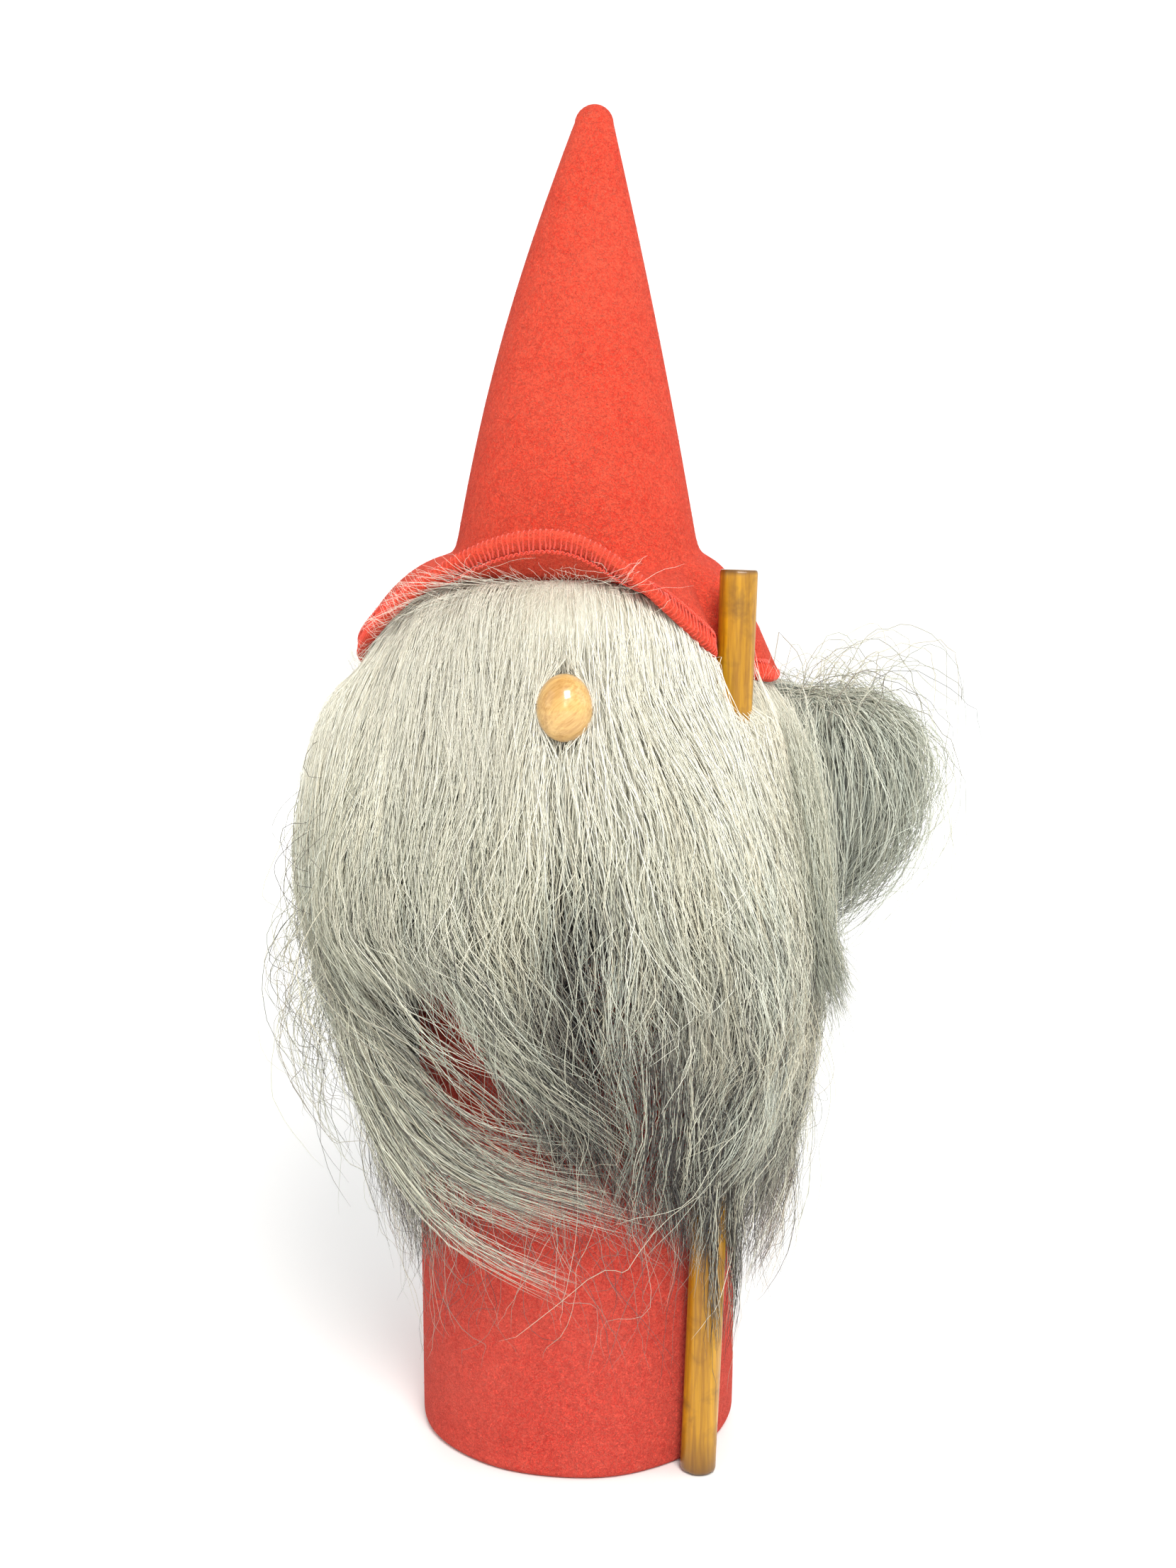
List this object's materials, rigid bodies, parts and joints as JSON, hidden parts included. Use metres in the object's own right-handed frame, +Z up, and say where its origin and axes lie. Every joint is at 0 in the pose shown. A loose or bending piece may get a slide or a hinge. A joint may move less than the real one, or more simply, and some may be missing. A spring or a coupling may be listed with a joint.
{
  "type": "tomte gnome figurine",
  "caption": "Free-standing folk gnome: felt-covered cylinder, long hair beard, wooden bead nose, tall pointed felt hat with turned-up brim, and a wooden staff.",
  "frame": {"origin": "centre of the round underside, on the floor", "axes": "+Z up along the body; the front with the nose faces -Y; +X is the viewer's right when facing the front"},
  "size_m": [0.1773, 0.1382, 0.364],
  "materials": {
    "body_felt": "matte wool felt",
    "hat_felt": "matte wool felt",
    "thread": "matte thread",
    "hair": "satin goat hair",
    "hide": "tanned, matte",
    "nose_wood": "clear varnish",
    "staff_wood": "yellow-brown stain and varnish",
    "plain_wood": "raw",
    "hardboard": "raw",
    "card": "matte",
    "sand_bag": "plain cotton",
    "foam": "foamed beads",
    "wadding": "loose fibre"
  },
  "bodies": {
    "body": {"base_felt": "body_felt", "base_disc": "hardboard", "body_tube": "card", "body_felt": "body_felt", "body_seam_thread": "thread", "ballast_bag": "sand_bag", "tube_cap": "plain_wood", "head_pin": "plain_wood", "head_form": "foam", "hair_hide": "hide", "beard_left": "hair", "beard_right": "hair", "hair_left": "hair", "hair_right": "hair", "hair_back_left": "hair", "hair_back_right": "hair", "hair_over_staff": "hair", "side_tuft": "hair", "nose_bead": "nose_wood", "nose_peg": "plain_wood", "staff_loop": "hide", "loop_thread": "thread"},
    "hat": {"hat_felt": "hat_felt", "hat_edge_thread": "thread", "hat_seam_thread": "thread", "hat_filling": "wadding"},
    "staff": {"staff": "staff_wood"}
  },
  "joints": [
    {"name": "hat_lift", "type": "slide", "parent": "body", "child": "hat", "axis": [0, 0, 1], "range_m": [0, 0.13]},
    {"name": "staff_lift", "type": "slide", "parent": "body", "child": "staff", "axis": [0.0349, 0.0163, 0.9993], "range_m": [0, 0.09]}
  ]
}
